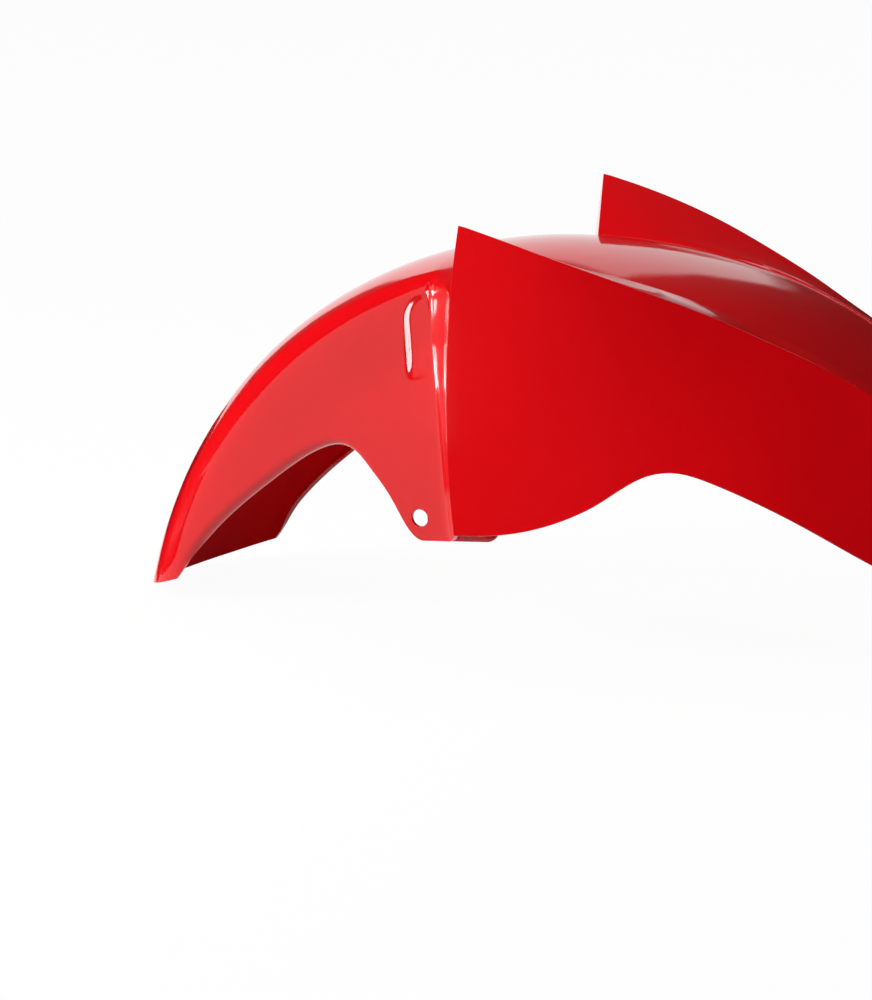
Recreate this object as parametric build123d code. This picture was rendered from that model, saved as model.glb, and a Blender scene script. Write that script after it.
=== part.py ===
from build123d import *
from math import asin, cos, hypot, pi, radians, sin, sqrt, tan
import os

# Front mudguard of a road motorcycle: one thin-walled plastic moulding, in millimetres.
# X points forwards along the machine, Y to its left and Z up along the fork legs.
# The origin lies midway between the two fork bolt holes, which share the Y axis.

# Skin
WALL = 3.0

# Crown line: two tangent arcs in the middle plane, over the tyre and out to the beak
CROWN_TOP_X = 96.0
CROWN_TOP_Z = 206.0
REAR_ARC = 358.0
FRONT_ARC = 510.0

# Rear arch: crown bend, shoulder radius and half-width, at the tail and at the fork
TAIL_BEND = 112.0
TAIL_SHOULDER = 34.0
TAIL_HALF_WIDTH = 75.0
FORK_BEND = 260.0
FORK_SHOULDER = 14.0
FORK_HALF_WIDTH = 70.0
HIP_BULGE = 6.0
HIP_HEIGHT = 55.0

# Section planes of the rear arch: crown angle, tilt of the plane and depth of the section
ARCH_STATIONS = (
    (176.0, 176.0, 110.0),
    (164.0, 163.0, 120.0),
    (150.0, 144.0, 140.0),
    (136.0, 122.0, 165.0),
    (122.0, 104.0, 200.0),
    (111.0, 94.0, 232.0),
)
FORK_PLANE_X = 8.0
FORK_DEPTH = 240.0
FORK_SEAM = 0.6

# Fork ears with the bolt holes, and the clearance pockets for the fork tubes
BOLT_HOLE_DIAMETER = 13.0
EAR_LOW = (4.0, -17.0)
EAR_TOE = (66.0, -11.0)
EAR_HEEL_X = 24.0
EAR_TOP_Z = 34.0
EAR_CORNER = 9.0
POCKET_REAR_X = -9.0
POCKET_TOP_Z = 171.0
POCKET_BOTTOM_Z = 62.0
POCKET_CORNER = 12.0

# Wings: half-widths of the side panels at three heights, at these places along X
PLAN_LEVELS_Z = (-60.0, 100.0, 260.0)
PLAN_X = (130.0, 212.0, 305.0, 360.0, 410.0, 455.0)
PLAN_HALF_WIDTHS = (
    (112.0, 118.0, 117.0, 101.0, 80.0, 58.0),
    (111.5, 102.5, 80.5, 61.0, 45.0, 32.0),
    (112.0, 87.0, 43.0, 23.0, 14.0, 10.0),
)
WING_EDGE_X = (60.0, 44.3, 60.0)
WING_HALF_WIDTH = (109.0, 111.3, 113.5)
CORNER_X = (33.0, 14.5, 10.5)
CORNER_FLARE = (0.0, 0.0, 10.0)
NOSE_TIP_X = (506.0, 500.0, 494.0)
FORK_HOLLOW = 3.0

# Deck between the fins: it flattens towards the nose
NOSE_BEND = 450.0
NOSE_FLAT_X = 290.0
DECK_STATIONS = 10

# Fins: wedges that carry the wings above the deck and fade out along the nose
FIN_TIP = (56.8, 115.5, 235.4)
FIN_HEEL_X = 46.0
FIN_HEEL_Z = 190.0
FIN_FOOT = (80.4, 58.0)
FIN_X = (120.0, 160.0, 205.0, 250.0)
FIN_FOOT_Y = (60.0, 62.0, 63.0, 62.0)
FIN_RIDGE_Y = (114.0, 107.5, 97.0, 84.5)
FIN_RIDGE_Z = (220.3, 209.0, 194.9, 179.2)
FIN_FADE_X = 300.0
FIN_FADE_Y = (56.0, 68.0)
FIN_SINK = 1.5
FIN_ROOT = 40.0

# Lower edge in side view, from the tail round the fork ear to the beak
TAIL_CORNER = (-207.0, -70.0)
TAIL_SLOPE = 18.0
TAIL_ROUND = 10.0
REAR_EDGE = (
    (-189.0, -45.0), (-121.0, 19.0), (-92.0, 39.5), (-65.0, 47.5),
    (-43.0, 35.0), (-20.0, 7.0), (-12.5, -5.0),
)
REAR_EDGE_START = (0.6, 0.8)
WING_LOW = (46.0, 0.0)
WING_LOW_RUN = (1.0, 0.1)
FRONT_EDGE = (
    (93.0, 6.4), (139.0, 21.4), (172.0, 39.4), (207.0, 62.0), (228.0, 66.5), (256.0, 61.5),
    (324.0, 35.5), (377.0, 8.8), (430.0, -12.0), (520.0, -20.0),
)

# Turned-in lip along the rear edge
LIP_HEIGHT = 4.0
LIP_HALF_GAP = 62.0
LIP_REAR_X = -196.0
LIP_FRONT_X = -24.0

# Reach of the solids that are cut to these outlines
DECK_REACH = 150.0
SIDE_REACH = 200.0
TAIL_REACH = 110.0
POCKET_REACH = 30.0
HEADROOM = 320.0
OVERLAP = 1.0

ARCH_CENTRE_Z = CROWN_TOP_Z - REAR_ARC
FRONT_CENTRE_Z = CROWN_TOP_Z - FRONT_ARC


def crown_height(x, inset):
    """Height of the crown line in the middle plane at x, inset along its radius."""
    if x < CROWN_TOP_X:
        return ARCH_CENTRE_Z + sqrt((REAR_ARC - inset) ** 2 - (x - CROWN_TOP_X) ** 2)
    return FRONT_CENTRE_Z + sqrt((FRONT_ARC - inset) ** 2 - (x - CROWN_TOP_X) ** 2)


def deck_height(x, y, inset):
    """Height of the deck at x, y."""
    share = min(max((x - CROWN_TOP_X) / (NOSE_FLAT_X - CROWN_TOP_X), 0.0), 1.0)
    bend = FORK_BEND + (NOSE_BEND - FORK_BEND) * share - inset
    return crown_height(x, inset) - bend + sqrt(bend ** 2 - y ** 2)


def ear_bottom(x):
    """Height of the ear's straight lower edge at x."""
    return EAR_LOW[1] + (EAR_TOE[1] - EAR_LOW[1]) * (x - EAR_LOW[0]) / (EAR_TOE[0] - EAR_LOW[0])


def both_sides(solid):
    """A right-hand solid with its mirror image on the left."""
    return solid + mirror(solid, Plane.XZ)


def arch_section(plane, share, depth, inset):
    """Filled inverted U: crown arc, shoulder arcs, bulging hips and upright walls."""
    bend = TAIL_BEND + (FORK_BEND - TAIL_BEND) * share ** 3 - inset
    shoulder = TAIL_SHOULDER + (FORK_SHOULDER - TAIL_SHOULDER) * share - inset
    low = TAIL_HALF_WIDTH + (FORK_HALF_WIDTH - TAIL_HALF_WIDTH) * share ** 2 - inset
    half = low + HIP_BULGE * share
    lean = asin((half - shoulder) / (bend - shoulder))
    middle = (lean + pi / 2.0) / 2.0
    centre_down = (bend - shoulder) * cos(lean) - bend
    join = (bend * sin(lean), bend * (cos(lean) - 1.0))
    knee = (half - shoulder + shoulder * sin(middle), centre_down + shoulder * cos(middle))
    hip = (half, centre_down)
    waist = (low, centre_down - HIP_HEIGHT)
    foot = (low, -depth)

    def left(point):
        return (-point[0], point[1])

    edges = [
        Line(left(foot), foot),
        Line(foot, waist),
        Spline(waist, hip, tangents=((0, 1), (0, 1))),
        ThreePointArc(hip, knee, join),
        ThreePointArc(join, (0, 0), left(join)),
        ThreePointArc(left(join), left(knee), left(hip)),
        Spline(left(hip), left(waist), tangents=((0, -1), (0, -1))),
        Line(left(waist), left(foot)),
    ]
    return plane * Pos(0, -inset, 0) * make_face(edges)


def arch_plane(angle, tilt):
    """Section plane at a crown angle, drawn sideways and outwards along the tilt."""
    crown = (
        CROWN_TOP_X + REAR_ARC * cos(radians(angle)),
        0,
        ARCH_CENTRE_Z + REAR_ARC * sin(radians(angle)),
    )
    return Plane(origin=crown, x_dir=(0, 1, 0), z_dir=(sin(radians(tilt)), 0, -cos(radians(tilt))))


def rear_arch(inset, reach):
    """Rear arch as a filled loft from the tail to the fork plane, and on by a reach.

    It meets the fork plane a seam's width inside the wide front.
    """
    count = len(ARCH_STATIONS)
    sections = [
        arch_section(arch_plane(angle, tilt), index / count, depth, inset)
        for index, (angle, tilt, depth) in enumerate(ARCH_STATIONS)
    ]
    for x in sorted({FORK_PLANE_X, FORK_PLANE_X + reach}):
        plane = Plane(origin=(x, 0, crown_height(x, 0.0)), x_dir=(0, 1, 0), z_dir=(1, 0, 0))
        sections.append(arch_section(plane, 1.0, FORK_DEPTH, inset + FORK_SEAM))
    return loft(sections)


def plan_face(level, inset):
    """Plan of the wide front at one height: fork plane, fork hollows, side panels and nose."""
    rear = FORK_PLANE_X + inset
    corner = (CORNER_X[level], -FORK_HALF_WIDTH - CORNER_FLARE[level])
    edge = (WING_EDGE_X[level], -WING_HALF_WIDTH[level])
    span = hypot(edge[0] - corner[0], edge[1] - corner[1])
    facing = ((corner[1] - edge[1]) / span, (edge[0] - corner[0]) / span)
    shift = inset * (1.0 - facing[1]) / facing[0]
    corner = (corner[0] + shift, corner[1] + inset)
    edge = (edge[0] + shift, edge[1] + inset)
    hollow = (
        (corner[0] + edge[0]) / 2.0 + FORK_HOLLOW * facing[0],
        (corner[1] + edge[1]) / 2.0 + FORK_HOLLOW * facing[1],
    )
    side = [(x, inset - half) for x, half in zip(PLAN_X, PLAN_HALF_WIDTHS[level])]
    tip = (NOSE_TIP_X[level] - inset, 0.0)

    def left(point):
        return (point[0], -point[1])

    panel = [edge] + side + [tip] + [left(point) for point in reversed([edge] + side)]
    edges = [
        Line((rear, -corner[1]), (rear, corner[1])),
        Line((rear, corner[1]), corner),
        ThreePointArc(corner, hollow, edge),
        Spline(*panel),
        ThreePointArc(left(edge), left(hollow), left(corner)),
        Line(left(corner), (rear, -corner[1])),
    ]
    return Pos(0, 0, PLAN_LEVELS_Z[level]) * make_face(edges)


def deck_section(x, inset):
    """Upright filled section under the deck at x."""
    side = deck_height(x, DECK_REACH, inset)
    edges = [
        Line((-DECK_REACH, ARCH_CENTRE_Z), (DECK_REACH, ARCH_CENTRE_Z)),
        Line((DECK_REACH, ARCH_CENTRE_Z), (DECK_REACH, side)),
        ThreePointArc((DECK_REACH, side), (0, crown_height(x, inset)), (-DECK_REACH, side)),
        Line((-DECK_REACH, side), (-DECK_REACH, ARCH_CENTRE_Z)),
    ]
    plane = Plane(origin=(x, 0, 0), x_dir=(0, 1, 0), z_dir=(1, 0, 0))
    return plane * make_face(edges)


def fin(inset):
    """Filled fin of the left side: its tilted rear face, its ridge and its slope to the deck."""
    heel = Vector(FIN_HEEL_X, FIN_TIP[1], FIN_HEEL_Z)
    tip = Vector(*FIN_TIP)
    foot = Vector(*FIN_FOOT, deck_height(*FIN_FOOT, 0.0) - FIN_SINK)
    normal = (heel - tip).cross(foot - tip)
    setback = inset * normal.length / abs(normal.X)
    drop = inset * hypot(tip.Y - foot.Y, tip.Z - foot.Z) / (tip.Y - foot.Y)

    def on_rear_face(y, z):
        x = tip.X - (normal.Y * (y - tip.Y) + normal.Z * (z - tip.Z)) / normal.X
        return (x + setback, y, z - drop)

    root = foot.Z - FIN_ROOT
    outlines = [
        Polyline(
            on_rear_face(foot.Y, foot.Z), on_rear_face(tip.Y, tip.Z), on_rear_face(DECK_REACH, tip.Z),
            on_rear_face(DECK_REACH, root), on_rear_face(foot.Y, root), close=True,
        )
    ]
    fade_z = deck_height(FIN_FADE_X, FIN_FADE_Y[1], 0.0) - FIN_SINK
    stations = list(zip(FIN_X, FIN_FOOT_Y, FIN_RIDGE_Y, FIN_RIDGE_Z))
    stations.append((FIN_FADE_X, *FIN_FADE_Y, fade_z))
    for x, foot_y, ridge_y, ridge_z in stations:
        foot_z = deck_height(x, foot_y, 0.0) - FIN_SINK - drop
        top = ridge_z - drop
        root = foot_z - FIN_ROOT
        outlines.append(
            Polyline(
                (x, foot_y, foot_z), (x, ridge_y, top), (x, DECK_REACH, top),
                (x, DECK_REACH, root), (x, foot_y, root), close=True,
            )
        )
    return loft([make_face(outline) for outline in outlines])


def front(inset):
    """Wide front as a filled solid: deck and fins, cut to the plan of the wings."""
    plan = loft([plan_face(level, inset) for level in range(len(PLAN_LEVELS_Z))])
    first = FORK_PLANE_X - OVERLAP
    step = (NOSE_TIP_X[0] + OVERLAP - first) / (DECK_STATIONS - 1)
    deck = loft([deck_section(first + step * index, inset) for index in range(DECK_STATIONS)])
    return (deck + both_sides(fin(inset))) & plan


def pocket(margin):
    """Clearance pocket for the right fork tube, outside the fork wall, grown by a margin."""
    rear = POCKET_REAR_X - margin
    ahead = FORK_PLANE_X + OVERLAP
    top = POCKET_TOP_Z + margin
    bottom = POCKET_BOTTOM_Z - margin
    outline = Pos((rear + ahead) / 2.0, (top + bottom) / 2.0) * Rectangle(ahead - rear, top - bottom)
    upper_rear = outline.vertices().group_by(Axis.X)[0].group_by(Axis.Y)[-1]
    outline = fillet(upper_rear, POCKET_CORNER + margin)
    wall = Plane(origin=(0, margin - FORK_HALF_WIDTH, 0), x_dir=(1, 0, 0), z_dir=(0, -1, 0))
    return extrude(wall * outline, POCKET_REACH)


def side_region():
    """Everything above the lower edge, as a prism across the whole width."""
    tail_out = (TAIL_CORNER[0] - TAIL_REACH, TAIL_CORNER[1] - TAIL_REACH * tan(radians(TAIL_SLOPE)))
    high_rear = (tail_out[0], HEADROOM)
    high_front = (FRONT_EDGE[-1][0], HEADROOM)
    ear_heel = (EAR_HEEL_X, ear_bottom(EAR_HEEL_X))
    ear_run = (EAR_TOE[0] - EAR_LOW[0], EAR_TOE[1] - EAR_LOW[1])
    edges = [
        Line(tail_out, TAIL_CORNER),
        Spline(TAIL_CORNER, *REAR_EDGE, EAR_LOW, tangents=(REAR_EDGE_START, ear_run)),
        Line(EAR_LOW, ear_heel),
        Spline(ear_heel, WING_LOW, tangents=(ear_run, WING_LOW_RUN)),
        Spline(WING_LOW, *FRONT_EDGE, tangents=(WING_LOW_RUN, (1, 0))),
        Line(FRONT_EDGE[-1], high_front),
        Line(high_front, high_rear),
        Line(high_rear, tail_out),
    ]
    outline = make_face(edges)
    outline = fillet(outline.vertices().sort_by_distance(TAIL_CORNER)[0], TAIL_ROUND)
    return extrude(Plane.XZ * outline, SIDE_REACH, both=True)


def rear_lip(region):
    """Lip turned inwards from both walls along the lower edge behind the fork ears."""
    edge_band = region - Pos(0, 0, LIP_HEIGHT) * region
    length = LIP_FRONT_X - LIP_REAR_X
    middle = Pos((LIP_FRONT_X + LIP_REAR_X) / 2.0, 0, 0)
    span = middle * Box(length, SIDE_REACH, HEADROOM)
    gap = middle * Box(length, 2.0 * LIP_HALF_GAP, HEADROOM)
    return rear_arch(WALL / 2.0, 0.0) & edge_band & (span - gap)


def ear_flange():
    """Flat flange of the right fork ear that runs on behind the wing."""
    outline = make_face(
        Polyline(
            (FORK_PLANE_X, ear_bottom(FORK_PLANE_X)), EAR_TOE, (EAR_TOE[0], EAR_TOP_Z),
            (FORK_PLANE_X, EAR_TOP_Z), close=True,
        )
    )
    outline = fillet(outline.vertices().group_by(Axis.X)[-1], EAR_CORNER)
    wall = Plane(origin=(0, WALL - FORK_HALF_WIDTH, 0), x_dir=(1, 0, 0), z_dir=(0, -1, 0))
    return extrude(wall * outline, WALL)


outside = rear_arch(0.0, 0.0) - both_sides(pocket(0.0)) + front(0.0)
inside = rear_arch(WALL, WALL + OVERLAP) - both_sides(pocket(WALL)) + front(WALL)
region = side_region()
mudguard = (outside - inside) & region
mudguard = mudguard + rear_lip(region) + both_sides(ear_flange())
bolt_line = Cylinder(BOLT_HOLE_DIAMETER / 2.0, 2.0 * SIDE_REACH, rotation=(90, 0, 0))
mudguard = mudguard - bolt_line

os.makedirs("parts", exist_ok=True)
export_step(mudguard, "parts/mudguard.step")
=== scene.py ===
"""Looks of a moulded motorcycle front mudguard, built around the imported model.

X points forwards along the machine, Y to its left and Z up along the fork legs. Shapes are worked
out in millimetres on the left half, mirrored, and put into meshes in metres.
"""

import logging
from collections.abc import Callable
from dataclasses import dataclass, field
from enum import Enum
from math import cos, pi, radians, sin, tan

import bmesh
import bpy
import numpy as np
from bpy.types import ID, Material, Mesh, Node, NodeTree, Object, World
from bpy.types import NodeSocket as Socket
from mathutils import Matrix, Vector

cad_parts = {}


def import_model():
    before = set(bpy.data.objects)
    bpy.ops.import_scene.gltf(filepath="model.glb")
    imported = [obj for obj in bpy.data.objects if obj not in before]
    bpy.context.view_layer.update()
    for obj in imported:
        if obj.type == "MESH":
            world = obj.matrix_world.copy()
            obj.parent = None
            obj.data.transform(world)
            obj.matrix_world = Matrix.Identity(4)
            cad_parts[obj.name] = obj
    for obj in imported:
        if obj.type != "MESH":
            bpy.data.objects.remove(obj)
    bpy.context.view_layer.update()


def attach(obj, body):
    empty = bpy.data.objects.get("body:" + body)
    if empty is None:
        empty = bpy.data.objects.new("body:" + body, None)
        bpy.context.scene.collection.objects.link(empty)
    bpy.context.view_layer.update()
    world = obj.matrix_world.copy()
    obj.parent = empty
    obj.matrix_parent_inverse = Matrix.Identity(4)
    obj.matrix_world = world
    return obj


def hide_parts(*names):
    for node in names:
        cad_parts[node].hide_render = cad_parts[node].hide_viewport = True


Array = np.ndarray
Point = tuple[float, ...]
Colour = tuple[float, float, float]

MM = 0.001
WELD = 0.00002
SLIVER = 0.000001
BISECTIONS = 44
SETTLING_STEPS = 60
WHITE = (1.0, 1.0, 1.0, 1.0)
BLACK = (0.0, 0.0, 0.0, 1.0)
LOG = logging.getLogger("mudguard")


class Side(Enum):
    """The two halves of the moulding, by the sign of Y."""

    LEFT = 1.0
    RIGHT = -1.0


def smooth_step(value: Array, low: float, high: float) -> Array:
    """Ease from 0 at low to 1 at high: three times the square less twice the cube of the share.

    Args:
        value: Numbers to ease.
        low: Where the ease starts.
        high: Where it ends.

    Returns:
        The eased numbers, from 0 to 1.
    """
    share = np.clip((value - low) / (high - low), 0.0, 1.0)
    return share * share * (3.0 - 2.0 * share)


def soft_max(first: Array, second: Array, blend: Array | float) -> Array:
    """Larger of two heights with a rounded crossing: their mean plus half the softened difference.

    Args:
        first: One height.
        second: The other height.
        blend: Width of the rounding.

    Returns:
        The softened larger height.
    """
    return 0.5 * (first + second + np.sqrt((first - second) ** 2 + blend ** 2))


def between(start: Array, end: Array, share: Array) -> Array:
    """Points on the straight lines from start to end at the given shares."""
    return start + (end - start) * share[..., None]


def spread(start: Array, end: Array, share: Array) -> Array:
    """Numbers from the start to the end of each row at the given shares, rows by shares."""
    return start[:, None] + (end - start)[:, None] * share


def steps(count: int) -> Array:
    """Even shares of a stretch, from the first step after its start to its end."""
    return np.linspace(0.0, 1.0, count + 1)[1:]


def halve(low: Array, high: Array, passes: Callable[[Array], Array]) -> Array:
    """Find where a test stops passing, by halving.

    Args:
        low: Numbers at which the test passes.
        high: Numbers at which it doesn't.
        passes: The test of an array of numbers.

    Returns:
        The last numbers at which it passes.
    """
    for _ in range(BISECTIONS):
        middle = 0.5 * (low + high)
        passed = passes(middle)
        low = np.where(passed, middle, low)
        high = np.where(passed, high, middle)
    return low


class SmoothCurve:
    """Cubic spline through points, with natural ends or given end directions.

    Each piece is the cubic that matches its two points and slopes; the slopes solve the three-term
    equations that keep the second derivative continuous.
    """

    def __init__(
        self,
        points: Array | list[Point],
        knots: Array | None = None,
        start: Point | None = None,
        end: Point | None = None,
    ) -> None:
        """Fit the curve.

        Args:
            points: Points to pass through, one a row.
            knots: Parameter of each point; the length along the chords if left out.
            start: Unit direction at the first point, or None for a natural end.
            end: Unit direction at the last point, or None for a natural end.
        """
        self.points = np.asarray(points, dtype=float)
        chords = np.linalg.norm(np.diff(self.points, axis=0), axis=1)
        lengths = np.concatenate([[0.0], np.cumsum(chords)])
        self.knots = lengths if knots is None else np.asarray(knots, dtype=float)
        count = len(self.points)
        gaps = np.diff(self.knots)
        rise = np.diff(self.points, axis=0) / gaps[:, None]
        matrix = np.zeros((count, count))
        target = np.zeros_like(self.points)
        inner = np.arange(1, count - 1)
        matrix[inner, inner - 1] = gaps[1:]
        matrix[inner, inner] = 2.0 * (gaps[:-1] + gaps[1:])
        matrix[inner, inner + 1] = gaps[:-1]
        target[inner] = 3.0 * (gaps[1:, None] * rise[:-1] + gaps[:-1, None] * rise[1:])
        matrix[0, :2] = (2.0, 1.0) if start is None else (1.0, 0.0)
        target[0] = 3.0 * rise[0] if start is None else start
        matrix[-1, -2:] = (1.0, 2.0) if end is None else (0.0, 1.0)
        target[-1] = 3.0 * rise[-1] if end is None else end
        self.slopes = np.linalg.solve(matrix, target)

    def at(self, place: Array) -> Array:
        """Points of the curve.

        Args:
            place: Parameters, in an array of any shape.

        Returns:
            One point for each parameter, on a last axis.
        """
        place = np.asarray(place, dtype=float)
        index = np.clip(np.searchsorted(self.knots, place, side="right") - 1, 0, len(self.knots) - 2)
        gap = self.knots[index + 1] - self.knots[index]
        share = ((place - self.knots[index]) / gap)[..., None]
        gap = gap[..., None]
        rest = 1.0 - share
        return (
            self.points[index] * (1.0 + 2.0 * share) * rest ** 2
            + self.points[index + 1] * (3.0 - 2.0 * share) * share ** 2
            + self.slopes[index] * gap * share * rest ** 2
            - self.slopes[index + 1] * gap * share ** 2 * rest
        )

    def polyline(self, count: int) -> Array:
        """The curve as count points, evenly spaced in its parameter."""
        return self.at(np.linspace(self.knots[0], self.knots[-1], count))


@dataclass(frozen=True)
class Crown:
    """Crown line, deck and fork plane: two tangent arcs in the middle, arched from side to side."""

    top_x: float = 96.0
    top_z: float = 206.0
    rear_arc: float = 358.0
    front_arc: float = 510.0
    fork_bend: float = 260.0
    nose_bend: float = 450.0
    nose_flat_x: float = 290.0
    fork_plane_x: float = 8.0

    def line(self, x: Array) -> Array:
        """Height of the crown line: the top of a circle whose radius changes at the highest point."""
        radius = np.where(x < self.top_x, self.rear_arc, self.front_arc)
        return self.top_z - radius + np.sqrt(radius ** 2 - (x - self.top_x) ** 2)

    def deck(self, x: Array, y: Array) -> Array:
        """Height of the deck: the crown line less the fall of a side arc that flattens to the nose.

        Args:
            x: Places along the machine.
            y: Places across it.

        Returns:
            The heights.
        """
        share = np.clip((x - self.top_x) / (self.nose_flat_x - self.top_x), 0.0, 1.0)
        bend = self.fork_bend + (self.nose_bend - self.fork_bend) * share
        return self.line(x) - bend + np.sqrt(bend ** 2 - y ** 2)

    def on_deck(self, plan: Array) -> Array:
        """Points of the plan lifted on to the deck."""
        return np.concatenate([plan, self.deck(plan[..., 0], plan[..., 1])[..., None]], axis=-1)


@dataclass
class LowerEdge:
    """Lower edge in side view, from the tail round the fork ear to the beak."""

    tail_corner: Point = (-207.0, -70.0)
    tail_slope: float = 18.0
    rear: tuple[Point, ...] = (
        (-189.0, -45.0), (-121.0, 19.0), (-92.0, 39.5), (-65.0, 47.5),
        (-43.0, 35.0), (-20.0, 7.0), (-12.5, -5.0),
    )
    rear_start: Point = (0.6, 0.8)
    ear_low: Point = (4.0, -17.0)
    ear_toe: Point = (66.0, -11.0)
    ear_heel_x: float = 24.0
    wing_low: Point = (46.0, 0.0)
    wing_run: Point = (0.995, 0.0995)
    front: tuple[Point, ...] = (
        (93.0, 6.4), (139.0, 21.4), (172.0, 39.4), (207.0, 62.0), (228.0, 66.5), (256.0, 61.5),
        (324.0, 35.5), (377.0, 8.8), (430.0, -12.0), (520.0, -20.0),
    )
    beak_run: Point = (1.0, 0.0)
    samples: int = 600
    outline: Array = field(init=False)

    def __post_init__(self) -> None:
        """Join the splines of the edge into one fine line."""
        ear_run = np.subtract(self.ear_toe, self.ear_low)
        ear_run = tuple(ear_run / np.linalg.norm(ear_run))
        heel = (self.ear_heel_x, self.ear_bottom(self.ear_heel_x))
        rear = SmoothCurve([self.tail_corner, *self.rear, self.ear_low], None, self.rear_start, ear_run)
        step = SmoothCurve([heel, self.wing_low], None, ear_run, self.wing_run)
        front = SmoothCurve([self.wing_low, *self.front], None, self.wing_run, self.beak_run)
        self.outline = np.concatenate([curve.polyline(self.samples) for curve in (rear, step, front)])

    def ear_bottom(self, x: Array | float) -> Array | float:
        """Height of the ear's straight lower edge."""
        run = (x - self.ear_low[0]) / (self.ear_toe[0] - self.ear_low[0])
        return self.ear_low[1] + (self.ear_toe[1] - self.ear_low[1]) * run

    def tail_cut(self, x: Array) -> Array:
        """Height of the straight line that ends the tail."""
        return self.tail_corner[1] + (x - self.tail_corner[0]) * tan(radians(self.tail_slope))

    def height(self, x: Array) -> Array:
        """Height of the edge at each x: the tail's cut, and the fine line from its corner on."""
        edge = np.interp(x, self.outline[:, 0], self.outline[:, 1])
        return np.where(x < self.tail_corner[0], self.tail_cut(x), edge)


@dataclass(frozen=True)
class Grid:
    """Counts of columns, from the crown down to the edge, and of rows, from the tail to the nose."""

    deck: int = 18
    outer_deck: int = 7
    shoulder: int = 14
    fin: int = 10
    wall: int = 50
    roll: int = 8
    arch_rows: int = 66
    pocket_rows: int = 20
    fork_rows: int = 24
    wing_rows: int = 76

    def wall_spread(self) -> Array:
        """Shares down the wall, closer together at the top: half the share plus half its cube."""
        share = steps(self.wall)
        return 0.5 * share + 0.5 * share ** 3


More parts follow.
